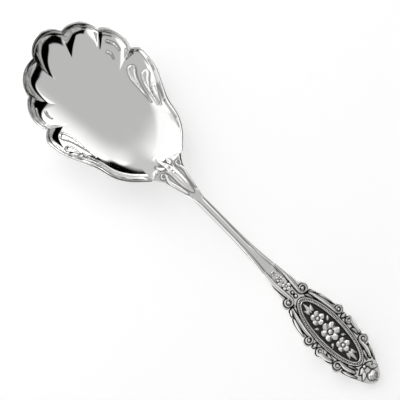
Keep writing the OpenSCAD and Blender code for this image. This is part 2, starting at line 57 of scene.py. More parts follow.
# Medallion let into the plate, and from its edge outwards the frame, the beads and the band
MEDALLION_X, MEDALLION_L, MEDALLION_W = 0.563 * PLATE_L, 0.515 * PLATE_L, 0.46 * PLATE_W
PLAQUE_DEPTH, PLAQUE_T, PLAQUE_PLAY = 0.6, 0.3, 0.02
FRAME_W, FRAME_H, BEAD_D, BEAD_PITCH, BAND_W, BAND_H, GAP = 0.45, 0.6, 0.45, 0.6, 0.4, 0.45, 0.1
BEAD_LINE = FRAME_W + GAP + BEAD_D / 2
BAND_LINE = BEAD_LINE + BEAD_D / 2 + GAP
ROSETTE_R, BLOSSOM_R, CHANNEL_FLOWER_R = 3.4, 2.5, 1.6
BLOSSOM_X = ROSETTE_R + BLOSSOM_R + GAP
# Scrolls, leaves and shell, and how far the foot of relief is let into the surface that it stands on
SCROLL_W, SCROLL_H, LEAF_H, SHELL_RIBS, RIB_W = 1.4, 1.1, 0.6, 5, 1.2
NECK_LEAF_L, NECK_LEAF_W, NECK_DROP, SIDE_LEAF_W = 12.0, 3.0, 4.0, 1.3
NECK_SCROLL_W, NECK_ROLL_R = 1.0, 1.0
END_LEAF_W, TIP_LEAF_W = 1.4, 1.3
FOOT = 0.12
# Bosses, beads and border leaves stand lower than the scrolls
LOW_H = 0.8 * SCROLL_H
# How bright recesses are worn, as a share of the crests
NECK_LEAF_WORN, NECK_SCROLL_WORN, SHELL_WORN = 0.2, 0.35, 0.3


# Curves

def mix(a, b, t):
    """Straight mix: a at t = 0 and b at t = 1."""
    return a + (b - a) * t


def smooth(t):
    """S-shaped step from 0 to 1: 3t^2 - 2t^3 between the ends."""
    t = np.clip(t, 0, 1)
    return t * t * (3 - 2 * t)


def arc(a, b, bulge, t):
    """Points at t on the circular arc from a to b whose height is bulge times its chord, to the left."""
    a, b = np.asarray(a, float), np.asarray(b, float)
    t = np.asarray(t)[:, None]
    if bulge == 0:
        return mix(a, b, t)
    half = 2 * math.atan(2 * bulge)
    turn = half * (2 * t - 1)
    left = np.array([a[1] - b[1], b[0] - a[0]])
    return (a + (b - a) * (np.sin(turn) + math.sin(half)) / (2 * math.sin(half))
            + left * (np.cos(turn) - math.cos(half)) / (2 * math.sin(half)))


def spline(knots, steps):
    """Smooth curve through the knots: in each span the cubic whose end slopes follow the knots on either side."""
    k = np.asarray(knots, float)
    padded = np.vstack([k[:1], k, k[-1:]])
    t = (np.arange(steps) / steps)[None, :, None]
    a, b, c, d = (padded[i:len(padded) - 3 + i, None] for i in range(4))
    spans = 0.5 * (2 * b + (c - a) * t + (2 * a - 5 * b + 4 * c - d) * t**2 + (3 * b - a - 3 * c + d) * t**3)
    return np.vstack([spans.reshape(-1, k.shape[1]), k[-1:]])


def spiral(eye, r_start, r_end, start, turn, steps):
    """Spiral about an eye: the radius shrinks by the same share for each degree turned."""
    t = np.linspace(0, 1, steps)
    r = r_start * (r_end / r_start) ** t
    a = np.radians(start + turn * t)
    return np.asarray(eye, float) + r[:, None] * np.stack([np.cos(a), np.sin(a)], 1)


def once_round(steps):
    """Angles evenly spaced once round a circle, with the first not repeated."""
    return np.linspace(0, 2 * math.pi, steps, endpoint=False)


# Solids: each is (points, quads, triangles, tone), with tone 0 in a recess, 1 on a crest and more on clear ground;
# on the bowl's lip, groove and wall and on the stem's edges the tone is also lowered for painted shade

def faced_out(points, quads, tris):
    """The faces, turned over if their volume comes out negative, so that they point outwards."""
    both = np.vstack([quads[:, :3], quads[:, [0, 2, 3]], tris])
    a, b, c = (points[both[:, s]] for s in range(3))
    if np.einsum("ij,ij->", a, np.cross(b, c)) < 0:
        return quads[:, ::-1], tris[:, ::-1]
    return quads, tris


def skin(rings, tone):
    """Closed solid over m rings of n points: quads from ring to ring, and a fan to the middle of each end ring."""
    m, n = rings.shape[:2]
    points = np.vstack([rings.reshape(-1, 3), rings[:1].mean(1), rings[-1:].mean(1)])
    tones = np.concatenate([np.broadcast_to(tone, (m, n)).ravel(), [np.mean(tone), np.mean(tone)]])
    i, j = np.arange(m - 1)[:, None] * n, np.arange(n)[None, :]
    k = (j + 1) % n
    quads = np.stack([i + j, i + k, i + n + k, i + n + j], -1).reshape(-1, 4)
    j, k = j.ravel(), k.ravel()
    first, final = np.full(n, m * n), np.full(n, m * n + 1)
    tris = np.vstack([np.stack([first, k, j], 1), np.stack([final, (m - 1) * n + j, (m - 1) * n + k], 1)])
    return points, *faced_out(points, quads, tris), tones


def joined(solids):
    """Several solids as one list of points and faces."""
    starts = np.cumsum([0] + [len(s[0]) for s in solids[:-1]])
    return (np.vstack([s[0] for s in solids]), np.vstack([s[1] + n for s, n in zip(solids, starts)]),
            np.vstack([s[2] + n for s, n in zip(solids, starts)]), np.concatenate([s[3] for s in solids]))


def repeated(solid, places):
    """The same solid moved to each of the places."""
    points, quads, tris, tone = solid
    count, n = len(places), len(points)
    step = (np.arange(count) * n)[:, None, None]
    return ((points[None] + places[:, None]).reshape(-1, 3), (quads[None] + step).reshape(-1, 4),
            (tris[None] + step).reshape(-1, 3), np.tile(tone, count))


def moved(solid, shift=(0, 0, 0), turn=0.0, flip=False):
    """The solid turned about Z by degrees, mirrored in Y if asked, and shifted."""
    points, quads, tris, tone = solid
    a = math.radians(turn)
    rotated = points @ np.array([[math.cos(a), math.sin(a), 0], [-math.sin(a), math.cos(a), 0], [0, 0, 1]])
    if flip:
        rotated = rotated * [1, -1, 1]
        quads, tris = quads[:, ::-1], tris[:, ::-1]
    return rotated + np.asarray(shift), quads, tris, tone


def both_sides(solid):
    """The solid and its mirror image in Y."""
    return joined([solid, moved(solid, flip=True)])


def on_plate(solid):
    """The solid made flat, set on the handle plate's slope at its joint with the stem."""
    points, quads, tris, tone = solid
    a = math.radians(PLATE_SLOPE)
    x, y, z = points.T
    return (np.stack([PLATE_X + x * math.cos(a) + z * math.sin(a), y,
                      PLATE_Z - x * math.sin(a) + z * math.cos(a)], 1), quads, tris, tone)


def worn(solid, share):
    """The solid with its recesses worn to a share of the crest's brightness."""
    points, quads, tris, tone = solid
    return points, quads, tris, mix(share, 1, tone)


# Sections of the relief, from the left foot over the crest to the right foot: (across, up, tone). Up to the height
# called wear, oxide gives way to bright metal.

def half_round():
    """Section of a plain scroll: half an oval, a little full in the shoulders."""
    fullness, wear = 0.8, 0.4
    a = np.linspace(math.pi, 0, 13)
    up = np.sin(a) ** fullness
    return np.stack([np.cos(a), up, smooth(up / wear)], 1)


def hollow_band():
    """Section of a broad scroll: a wide and a narrow half-round roll with a groove between them."""
    wide_at, wide_half = -0.3, 0.7
    narrow_at, narrow_half, narrow_up = 0.67, 0.33, 0.75
    groove, wear = 0.2, 0.35
    across = np.linspace(-1, 1, 33)
    wide = np.sqrt(np.maximum(1 - ((across - wide_at) / wide_half) ** 2, 0))
    narrow = narrow_up * np.sqrt(np.maximum(1 - ((across - narrow_at) / narrow_half) ** 2, 0))
    up = np.maximum(np.maximum(wide, narrow), groove * (1 - across**4))
    return np.stack([across, up, smooth((up - groove) / wear)], 1)


def veined():
    """Section of a leaf: two soft swells with a narrow vein between them."""
    fullness, vein_depth, vein_half, wear = 0.6, 0.5, 0.14, 0.45
    across = np.linspace(-1, 1, 21)
    up = (1 - across**2) ** fullness * (1 - vein_depth * np.exp(-(across / vein_half) ** 2))
    return np.stack([across, up, smooth(up / wear)], 1)


# Relief

# Share of its rise that a scroll or a leaf would have left at no width
SCROLL_LOW, LEAF_LOW = 0.6, 0.35


def relief(path, half_width, rise, section, seat=None):
    """Section carried along a flat path, spread by half_width to the left and lifted by rise above the seat."""
    ahead = np.gradient(path, axis=0)
    ahead /= np.linalg.norm(ahead, axis=1)[:, None]
    left = np.stack([-ahead[:, 1], ahead[:, 0]], 1)
    across, up, tone = section.T
    flat = path[:, None] + left[:, None] * (half_width[:, None] * across)[..., None]
    ground = np.zeros(flat.shape[:2]) if seat is None else seat(flat[..., 0], flat[..., 1])
    top = np.concatenate([flat, (ground + rise[:, None] * up)[..., None]], 2)
    foot = np.concatenate([flat[:, ::-1], (ground[:, ::-1] - FOOT)[..., None]], 2)
    tones = np.concatenate([np.broadcast_to(tone, top.shape[:2]), np.zeros(foot.shape[:2])], 1)
    return skin(np.concatenate([top, foot], 1), tones)


def line_rise(rise, half, width, share):
    """Height along a line: all of the rise where it is widest, and less with its width, towards a share of the rise."""
    return rise * (share + 2 * (1 - share) * half / width)


def scroll_line(tail, eye, r, start, turn, width):
    """Path and half width of a scroll: a smooth tail through knots that rolls up round an eye."""
    roll_end, end_width, swell_over = 0.6, 0.4, 0.55
    roll = spiral(eye, r, roll_end * r, start, turn, 60)
    path = np.vstack([spline(np.vstack([tail, roll[:1]]), 16)[:-1], roll])
    t = np.linspace(0, 1, len(path))
    return path, mix(end_width, 1, np.sin(math.pi * np.minimum(1, t / swell_over))) * width / 2


def scroll(tail, eye, r, start, turn, width, rise, section, seat=None):
    """A scroll in relief, highest where it is widest."""
    path, half = scroll_line(tail, eye, r, start, turn, width)
    return relief(path, half, line_rise(rise, half, width, SCROLL_LOW), section, seat)


def leaf_line(a, b, bow, width):
    """Path and half width of a pointed leaf on a bowed path from a to b, fullest before the middle."""
    point_width, fullest = 0.05, 0.75
    t = np.linspace(0, 1, 33)
    return arc(a, b, bow, t), mix(point_width, 1, np.sin(math.pi * t**fullest)) * width / 2


def leaf(a, b, bow, width, rise, section, seat=None):
    """A leaf in relief, highest where it is widest."""
    path, half = leaf_line(a, b, bow, width)
    return relief(path, half, line_rise(rise, half, width, LEAF_LOW), section, seat)


def within(x, y, path, half):
    """How deep a point lies inside the line or its mirror image in Y, negative outside."""
    return (half - np.hypot(x[..., None] - path[:, 0], np.abs(y)[..., None] - path[:, 1])).max(-1)


def clear_ground(x, y, lines):
    """Tone of the ground round relief: 0 with oxide at the foot of the lines, 1 where the oxide has faded out."""
    reach, fade = 0.2, 0.3
    return smooth((-np.max([within(x, y, *line) for line in lines], 0) - reach) / fade)


def channel_oxide(y, edge):
    """Oxide along the channel: a bell curve across each of its edges, a little to the outside."""
    outside, half = 0.1, 0.2
    return np.exp(-((np.abs(y) - edge - outside) / half) ** 2)


def boss(r, rise):
    """A round boss: a quarter ellipse turned about Z nearly to its pole, with its foot let in."""
    near_pole, wear = math.radians(84), 0.5
    a = np.linspace(0, near_pole, 7)
    radius = np.concatenate([[r], r * np.cos(a)])
    height = np.concatenate([[-FOOT], rise * np.sin(a)])
    turn = once_round(20)
    rings = np.stack([radius[:, None] * np.cos(turn), radius[:, None] * np.sin(turn),
                      np.broadcast_to(height[:, None], (len(radius), len(turn)))], -1)
    return skin(rings, smooth(height / (wear * rise))[:, None])


def flower(r, petals, rise):
    """A flower: its edge swings in and out once for each petal, each petal is cupped, and a domed heart fills the
    middle. Radii and heights are shares of the whole."""
    notch, edge_round, heart_r, dark, wear = 0.6, 0.55, 0.3, 0.1, 0.55
    cup_at, cup_half, cup_up, cup_round, between, cup_from, cup_over = 0.72, 0.42, 0.85, 0.7, 0.35, 0.24, 0.2
    turn = once_round(24 * petals)
    lobe = np.abs(np.cos(petals * turn / 2))
    edge = r * mix(notch, 1, lobe**edge_round)
    share = np.linspace(0.02, 1, 26)[:, None]
    heart = np.clip(1 - (share / heart_r) ** 2, 0, 1) ** 0.5
    cup = mix(between, 1, lobe**cup_round) * np.clip(1 - ((share - cup_at) / cup_half) ** 4, 0, 1)
    cup = cup * smooth((share - cup_from) / cup_over)
    height = np.maximum(heart, cup_up * cup)
    height[-1] = 0
    top = np.stack([share * edge * np.cos(turn), share * edge * np.sin(turn), rise * height], -1)
    foot = top[-1:] * [1, 1, 0] - [0, 0, FOOT]
    tone = smooth((np.vstack([height, height[-1:] * 0]) - dark) / wear)
    return skin(np.concatenate([top, foot]), tone)


# Bowl

# Shares of its length and half width: cusps between the lobes, knots of the smooth flank, and the ridge on the flank
CUSPS = [(0.069, 0.297), (0.198, 0.733), (0.396, 0.876)]
FLANK = [CUSPS[2], (0.428, 0.975), (0.467, 1), (0.56, 0.955), (0.67, 0.814),
         (0.736, 0.733), (0.835, 0.667), (0.918, 0.53), (1, HEEL_W / BOWL_W)]
FLANK_RIDGE = 0.69
# Sprays embossed in the flanks and lobes, in millimetres: knots from stalk to head, and half width at the head
SPRAYS = [
    ([(9.0, 13.3), (4.0, 14.0), (-0.5, 14.9), (-3.0, 16.2)], 1.5),
    ([(11.0, 14.0), (6.5, 15.4), (3.0, 16.9), (1.3, 18.2)], 1.4),
    ([(12.0, 14.4), (8.5, 15.9), (5.8, 17.0)], 1.1),
    ([(-10.3, 17.7), (-12.7, 17.8), (-15.1, 16.6)], 0.45),
    ([(-9.7, 14.6), (-11.2, 15.0), (-12.6, 14.6)], 0.4)]
EMBOSS, STALK_HALF = 0.5, 0.25
# Sharp crests on the ridges between lobes, from the rim inwards: knots, and half width at the rim; then their slope,
# and the share of that half width at their inner end
CREASES = [([(-19.4, 16.1), (-17.0, 14.6), (-15.1, 13.2)], 1.5), ([(-7.8, 19.3), (-7.3, 18.2), (-6.8, 17.2)], 1.5)]
CREASE_SLOPE, CREASE_END = 0.35, 0.3
# The lip's rounding and the groove that sets it off: its depth, its place inside the rim and its half width
LIP_H, GROOVE_D, GROOVE_IN, GROOVE_HALF = 0.35, 0.12, 0.6, 0.25


def bowl_place(p):
    """Shares of the bowl's length and half width, in millimetres."""
    return np.asarray(p, float) * [BOWL_L, BOWL_W / 2] + [TIP_X, 0]


def flute_swell(t):
    """How far into its flute a rim point at t lies: 0 on the ridges at both ends, 1 in the middle."""
    return np.maximum(0, np.sin(math.pi * t)) ** FLUTE_POWER


def rim_lobe(start, end, bulge, t, depth=1.0):
    """Rows of the rim at t on one circular lobe, whose flute is deepest in its middle."""
    return np.column_stack([arc(start, end, bulge, t), depth * flute_swell(t), 0 * t, 0 * t])


def bowl_rim():
    """The rim once round from the tip, as rows (x, y, flute, side, seam): circular lobes between the cusps, then
    the smooth flank, then the seam with the stem."""
    a, b, c = (bowl_place(p) for p in CUSPS)
    t = np.linspace(0, 1, 52, endpoint=False)
    shares = spline(FLANK, 20)
    f, cusp = shares[:, 0], CUSPS[2][0]
    before, after = (f - cusp) / (FLANK_RIDGE - cusp), (f - FLANK_RIDGE) / (1 - FLANK_RIDGE)
    flute = np.where(f < FLANK_RIDGE, mix(np.where(before < 0.5, 0, RIDGE_FLUTE), 1, flute_swell(before)),
                     mix(RIDGE_FLUTE, CORNER_FLUTE, flute_swell(np.minimum(0.5, after))))
    # Over the flank's last fifth the lip turns sideways, to meet the stem's edge
    flank = np.column_stack([bowl_place(shares), flute, smooth((f - 0.8) / 0.2), 0 * f])
    y = np.linspace(0.9, 0, 8)
    seam = np.column_stack([0 * y + HEEL_X, y * HEEL_W / 2, mix(HEEL_FLUTE, CORNER_FLUTE, y**2), 0 * y + 1, 0 * y + 1])
    half = np.vstack([rim_lobe(a * [1, -1], a, (a[0] - TIP_X) / (2 * a[1]), 0.5 + t[::2] / 2, TIP_FLUTE),
                      rim_lobe(a, b, LOBE_SHARE, t), rim_lobe(b, c, LOBE_SHARE, t), flank, seam])
    return np.vstack([half, half[-2:0:-1] * [1, -1, 1, 1, 1]])


def turn_up(t):
    """Rise of a wall that turns up smoothly between 0 and 1 and then runs straight on."""
    return np.where(t < 0, 0, np.where(t < 1, t**3 * (1 - t / 2), t - 0.5))


def rim_height(x):
    """The rim lifts towards the tip with the square of the way there, and dips on its way to the seam at the heel."""
    t = np.clip(x / HEEL_X, 0, 1)
    return np.where(x < 0, RIM_H + TIP_RISE * (x / TIP_X) ** 2,
                    mix(RIM_H, HEEL_Z, smooth(t)) - FLANK_DIP * np.sin(math.pi * t) ** 2)


def bowl_height(x, y, flute, v, low, high, flat=0.0):
    """Height at v of the way to the rim point (x, y): an oval dish round a flat, rising as a power of v, and a wall
    that starts further out in a flute than on a ridge."""
    reach = np.hypot(x / np.where(x < 0, TIP_X, HEEL_X) / DISH_L_SHARE, y / (BOWL_W / 2) / DISH_W_SHARE)
    rise = DISH_SHARE * (rim_height(x / reach) - FLOOR_T) * reach**DISH_POWER
    start, turn = mix(RIDGE_START, FLUTE_START, flute), mix(RIDGE_TURN, FLUTE_TURN, flute)
    dish = np.maximum(0, v**DISH_POWER - flat**DISH_POWER) / (1 - flat**DISH_POWER)
    wall = turn_up((v - start) / turn) / turn_up((1 - start) / turn)
    return mix(low + rise * dish, high - rise * (1 - dish), wall)


def embossed(x, y):
    """Height and tone of the sprays and creases. A spray is a finger that swells from its stalk to a round head, with
    a rounded edge, a hollow along its middle and oxide at its foot. A crease rises evenly to a sharp crest."""
    edge_over, hollow, hollow_in, hollow_over = 0.55, 0.5, 0.45, 0.6
    dark, dark_half = 0.6, 0.2
    height, tone = 0 * x, 1 + 0 * x
    for knots, head in SPRAYS:
        path = spline(knots, 16)
        deep = within(x, y, path, mix(STALK_HALF, head, smooth(np.linspace(0, 1, len(path)))))
        finger = smooth(deep / edge_over) * (1 - hollow * smooth((deep - hollow_in) / hollow_over))
        height = np.maximum(height, EMBOSS * finger)
        tone = np.minimum(tone, 1 - dark * np.exp(-(deep / dark_half) ** 2))
    for knots, half in CREASES:
        path = spline(knots, 24)
        deep = within(x, y, path, half * np.linspace(1, CREASE_END, len(path)))
        height = np.maximum(height, CREASE_SLOPE * np.maximum(0, deep))
    return height, tone


def bowl_solid():
    """The bowl as rings of spokes: out along the inside, over the rounded lip and back along the outside."""
    # Rings start a little way out from the middle and crowd towards the rim
    pole, crowding = 0.012, 0.8
    groove_ends, groove_fade, heel_starts, heel_over = 0.7 * HEEL_X, 4, 0.25 * HEEL_X, 6
    # Darkness of the oxide round the neck's leaves, and of the painted shade in the groove, on the wall near the seam
    # and along the lip
    neck_dark, groove_painted_shade, wall_painted_shade, lip_painted_shade = 0.1, 0.4, 0.3, 0.85
    wall_starts, wall_over, lip_starts, lip_over = 0.9, 0.05, 0.3, 0.3
    x, y, flute, side, seam = bowl_rim().T
    away = np.stack([x, y], 1) / np.hypot(x, y)[:, None]
    away = mix(away, np.stack([0 * x, np.sign(y)], 1), side[:, None])
    edge = np.stack([x, y], 1) + away * (RIM_T * (1 - seam))[:, None]
    rim = rim_height(x)
    v = np.linspace(pole, 1, 112)[:, None] ** crowding
    # A fine groove sets the lip off from the wall, except at the seam
    groove = np.exp(-(((1 - v) * np.hypot(x, y) - GROOVE_IN) / GROOVE_HALF) ** 2)
    groove = groove * (1 - smooth((x - groove_ends) / groove_fade))
    spray, tone = embossed(x * v, y * v)
    tone = np.minimum(tone, mix(neck_dark, 1, clear_ground(x * v, y * v, NECK_LINES[:2])))
    inside = np.stack([x * v, y * v, bowl_height(x, y, flute, v, FLOOR_T, rim) + spray - GROOVE_D * groove], -1)
    # The lip: half an oval from the inner to the outer edge, flat on the seam
    a = np.linspace(math.pi, 0, 9)[1:-1, None]
    t = (1 + np.cos(a)) / 2
    lift = LIP_H * np.sin(a) * (1 - seam)
    lip = np.stack([mix(x, edge[:, 0], t), mix(y, edge[:, 1], t), rim - t * seam * HEEL_T + lift], -1)
    w = np.linspace(1, pole, 24)[:, None] ** crowding
    outside = np.stack([edge[:, 0] * w, edge[:, 1] * w,
                        bowl_height(x, y, flute, w, 0, rim - seam * HEEL_T, REST_W / BOWL_W)], -1)
    # Painted shade: the fine groove is darkened, near the seam the wall darkens towards the lip, and a thin painted
    # line of shade along the lip's outer half draws the edge
    heel = smooth((x - heel_starts) / heel_over) * (1 - seam)
    tone = tone - groove_painted_shade * groove - wall_painted_shade * heel * smooth((v - wall_starts) / wall_over)
    lip_tone = 1 - lip_painted_shade * heel * smooth((t - lip_starts) / lip_over)
    tone = np.concatenate([tone, lip_tone, np.ones((len(outside), len(x)))])
    return skin(np.concatenate([inside, lip, outside]), tone)


# Stem

WAIST_X = HEEL_X + 0.55 * STEM_L
# Lengths over which the channel opens and the reeds rise behind the neck's leaf, and the height of the reeds
CHANNEL_OPENS, REEDS_OPEN, REED_H = 4, 6, 0.2


def stem_half_width(x):
    """Half the waist's width, plus a flare to the seam and a slower one to the handle plate."""
    corner, flare_power, corner_power, root_power = 0.25, 1.5, 2, 2.2
    d = x - HEEL_X
    flare = ((1 - corner) * np.maximum(0, 1 - d / FLARE_L) ** flare_power
             + corner * np.maximum(0, 1 - d / CORNER_L) ** corner_power)
    return (WAIST_W / 2 + (HEEL_W - WAIST_W) / 2 * flare
            + (ROOT_W - WAIST_W) / 2 * np.maximum(0, (x - WAIST_X) / (PLATE_X - WAIST_X)) ** root_power)


def stem_height(x):
    """Top line of the stem: a cubic arch that leaves the seam rising and meets the plate on its slope."""
    t = (x - HEEL_X) / STEM_L
    up, down = math.tan(math.radians(HEEL_SLOPE)), math.tan(math.radians(PLATE_SLOPE))
    return ((2 * t**3 - 3 * t**2 + 1) * HEEL_Z + (t**3 - 2 * t**2 + t) * STEM_L * up
            + (3 * t**2 - 2 * t**3) * PLATE_Z - (t**3 - t**2) * STEM_L * down)


def channel_half_width(x):
    """Half the width between the rails, which grow with the stem towards the plate."""
    return stem_half_width(x) - RAIL_W * mix(1, ROOT_W / WAIST_W, smooth((x - WAIST_X) / (PLATE_X - WAIST_X)))


def flare_seat(x, y):
    """Surface under the ornament at the neck: the stem's crowned top, and the bowl's heel in front of the seam."""
    behind = np.maximum(x, HEEL_X)
    stem = stem_height(behind) - CROWN * (y / stem_half_width(behind)) ** 2
    return np.where(x > HEEL_X, stem, bowl_height(HEEL_X, 0.0, HEEL_FLUTE, np.clip(x / HEEL_X, 0, 1), FLOOR_T, HEEL_Z))


def flare_edge(d, inset):
    """Place on the flare at d from the seam, inset from its edge."""
    return HEEL_X + d, float(stem_half_width(HEEL_X + d)) - inset


# Ornament at the neck: the middle leaf, a small leaf beside its drop, the leaf beside it, and the scroll on the edge
NECK_ROOT = HEEL_X + NECK_LEAF_L
DROP_LEAF = (NECK_ROOT, 0), (HEEL_X - NECK_DROP, 0), 0, NECK_LEAF_W
DROP_SIDE = (HEEL_X + 0.2, 0.4 * NECK_LEAF_W), (HEEL_X - 0.6 * NECK_DROP, 0.75 * NECK_LEAF_W), -0.1, SIDE_LEAF_W
SIDE_LEAF = (NECK_ROOT - NECK_LEAF_L / 4, 0.35 * NECK_LEAF_W), (HEEL_X + GAP, 0.62 * NECK_LEAF_W), 0.07, SIDE_LEAF_W
NECK_SCROLL = ([flare_edge(d * NECK_LEAF_L, 0.75 * NECK_SCROLL_W) for d in (0.92, 0.62, 0.38)],
               flare_edge(NECK_ROLL_R + 0.75 * NECK_SCROLL_W, NECK_ROLL_R + 0.7 * NECK_SCROLL_W),
               NECK_ROLL_R, -60, -310, NECK_SCROLL_W)
NECK_LINES = [leaf_line(*DROP_LEAF), leaf_line(*DROP_SIDE), leaf_line(*SIDE_LEAF), scroll_line(*NECK_SCROLL)]
# Beads along the middle leaf: distance behind the seam, radius, and height
NECK_BEADS, NECK_BEAD_H = [(0.4, 0.7), (1.9, 0.55), (3.1, 0.45)], 0.4


def stem_solid():
    """The stem as sections along its arch: two rounded rails with a channel between, over a half-round back."""
    # Darkness of the oxide along the channel and round the neck's leaves, and of the painted shade on the stem's outer
    # edges
    line_dark, edge_painted_shade, neck_dark = 0.55, 0.6, 0.4
    channel_wall, edge_share, edge_power, reeds_fade, reeds_over = 0.3, 0.25, 8, 0.7, 0.3
    edge_starts, edge_over, plate_fade, plate_from, plate_over = 0.9, 0.06, 0.7, 0.8, 0.2
    u = np.linspace(0, 1, 150)[:, None]
    x = HEEL_X + STEM_L * u
    w, c = stem_half_width(x), channel_half_width(x)
    thick = mix(HEEL_T, PLATE_T, u) + (STEM_T - max(HEEL_T, PLATE_T)) * np.sin(math.pi * u)
    past_leaf = x - HEEL_X - NECK_LEAF_L
    opened = smooth(past_leaf / CHANNEL_OPENS)
    depth = CHANNEL_D * opened
    q = np.sin(np.linspace(-math.pi / 2, math.pi / 2, 61))[None]
    y = w * q
    in_channel = 1 - smooth((np.abs(y) - c) / (channel_wall * (w - c)))
    edge = edge_share * thick
    # Between the stem's ends the rails and the channel's floor are rounded like reeds
    rail = (np.maximum(np.abs(y), c) - c) / (w - c)
    reeds = REED_H * np.where(np.abs(y) < c, 1 - (y / c) ** 2, 1 - (2 * rail - 1) ** 2)
    reeds = reeds * smooth(past_leaf / REEDS_OPEN) * (1 - smooth((u - reeds_fade) / reeds_over))
    top = reeds - CROWN * q**2 - depth * in_channel - edge * np.abs(q) ** edge_power
    a = np.linspace(0, math.pi, 33)[None, 1:-1]
    back_y, back = w * np.cos(a), -CROWN - edge - (thick - CROWN - edge) * np.sin(a)
    across = np.concatenate([y, back_y], 1)
    up = np.concatenate([top, back], 1)
    lean = np.radians(PLATE_SLOPE) * smooth(u)
    rings = np.stack([x + up * np.sin(lean), across, stem_height(x) + up * np.cos(lean)], -1)
    # Oxide lies along the channel's edges and between the leaves at the neck; painted shade darkens the stem's own
    # edges
    line = channel_oxide(y, c) * depth / CHANNEL_D
    outer = smooth((np.abs(q) - edge_starts) / edge_over) * opened
    outer = outer * (1 - plate_fade * smooth((u - plate_from) / plate_over))
    ground = mix(neck_dark, 1, clear_ground(x + 0 * y, y, NECK_LINES))
    tone = np.concatenate([np.minimum(1 - line_dark * line - edge_painted_shade * outer, ground), np.ones(back.shape)], 1)
    return skin(rings, tone)


def neck_leaf_solid():
    """Three leaves from one root on the stem, of which the middle one hangs over the seam into the bowl with a small
    leaf on each side, and beads along the middle."""
    side = joined([leaf(*SIDE_LEAF, LEAF_H, veined(), flare_seat),
                   leaf(*DROP_SIDE, 0.8 * LEAF_H, veined(), flare_seat)])
    beads = [moved(boss(r, NECK_BEAD_H), (HEEL_X + d, 0, float(flare_seat(HEEL_X + d, 0)) + 0.9 * LEAF_H))
             for d, r in NECK_BEADS]
    middle = leaf(*DROP_LEAF, 1.3 * LEAF_H, veined(), flare_seat)
    return worn(joined([middle, both_sides(side), *beads]), NECK_LEAF_WORN)


def neck_scrolls_solid():
    """A scroll along each edge of the flare, rolled up beside the seam."""
    return worn(both_sides(scroll(*NECK_SCROLL, LEAF_H, half_round(), flare_seat)), NECK_SCROLL_WORN)


# Handle plate: made flat with x from the stem to the tip, then set on its slope. Places are shares of its length and
# half width.

PLATE_KNOTS = [(0, ROOT_W / PLATE_W), (0.095, 0.39), (0.21, 0.5), (0.3, 0.66), (0.375, 0.83), (0.46, 0.9),
               (0.55, 0.95), (0.665, 0.93), (0.76, 0.855), (0.855, 0.675), (0.93, 0.46), (0.975, 0.31), (1, 0.13)]
# Scrolls along the edge: knots of the tail, eye, radius of the roll as a share of the half width, start and turn
BORDER_SCROLLS = [
    ([(0.015, 0.26), (0.1, 0.29), (0.17, 0.265)], (0.24, 0.4), 0.18, -100, 330),
    ([(0.285, 0.46), (0.34, 0.555), (0.4, 0.64), (0.455, 0.69)], (0.5, 0.84), 0.15, -100, 330),
    ([(0.7, 0.79), (0.665, 0.85), (0.63, 0.885)], (0.6, 0.825), 0.13, 80, 300),
    ([(0.858, 0.43), (0.835, 0.5), (0.8, 0.57)], (0.745, 0.735), 0.16, -75, -330)]
# Leaves: both ends and the bow, and for those of the border their width as a share of a scroll's
BORDER_LEAVES = [
    ((0.283, 0.53), (0.32, 0.67), 0, 0.5), ((0.278, 0.3), (0.335, 0.42), 0.05, 0.5),
    ((0.335, 0.675), (0.46, 0.87), 0.03, 0.65), ((0.552, 0.7), (0.552, 0.95), 0, 0.75),
    ((0.645, 0.68), (0.7, 0.7), 0.1, 0.6), ((0.79, 0.42), (0.855, 0.27), 0.05, 0.5),
    ((0.792, 0.74), (0.888, 0.51), 0.03, 0.6)]
TIP_LEAVES = [((0.868, 0.11), (0.888, 0.36), -0.2), ((0.893, 0.15), (0.93, 0.43), -0.1)]
# Station on the middle line, size and depth of the flowers; station and size of the beads
CHANNEL_FLOWERS = [(0.045, 0.6, CHANNEL_D), (0.093, 0.75, CHANNEL_D), (0.158, 1, 0)]
AXIS_BEADS = [(0.215, 1), (0.245, 1.2), (0.875, 1.35)]
# The tip's shell: stations of its root and its end, and how far its fan opens to each side
SHELL_ROOT, SHELL_END, SHELL_FAN = 0.9, 0.992, 26


def plate_place(p):
    """Shares of the plate's length and half width, in millimetres."""
    return np.asarray(p, float) * [PLATE_L, PLATE_W / 2]


def medallion_oval(out, t):
    """Points at the angles t on the oval that lies outside the medallion's edge by out."""
    return MEDALLION_X + (MEDALLION_L / 2 + out) * np.cos(t), (MEDALLION_W / 2 + out) * np.sin(t)


def border_scrolls():
    """Tail, eye, radius, start, turn and width of each scroll of the border, in millimetres."""
    return [(plate_place(tail), plate_place(eye), r * PLATE_W / 2, start, turn, SCROLL_W)
            for tail, eye, r, start, turn in BORDER_SCROLLS]


def border_leaves():
    """Ends, bow and width of each leaf of the border, in millimetres."""
    return [(plate_place(a), plate_place(b), bow, width * SCROLL_W) for a, b, bow, width in BORDER_LEAVES]


def tip_leaves():
    """Ends, bow and width of each leaf behind the medallion, in millimetres."""
    return [(plate_place(a), plate_place(b), bow, TIP_LEAF_W) for a, b, bow in TIP_LEAVES]


def shell_ribs():
    """Ends, bow and width of the ribs of the tip's shell: a fan from one root, shorter at its sides."""
    rib_starts, shorter = 0.3, 0.2
    root = np.array([SHELL_ROOT * PLATE_L, 0])
    reach = SHELL_END * PLATE_L - root[0]
    angles = np.radians(np.linspace(-SHELL_FAN, SHELL_FAN, SHELL_RIBS))
    ways = np.stack([np.cos(angles), np.sin(angles)], 1)
    ends = root + (reach * (1 - shorter * np.abs(angles) / np.radians(SHELL_FAN)))[:, None] * ways
    return [(a, b, 0, RIB_W) for a, b in zip(root + rib_starts * reach * ways, ends)]


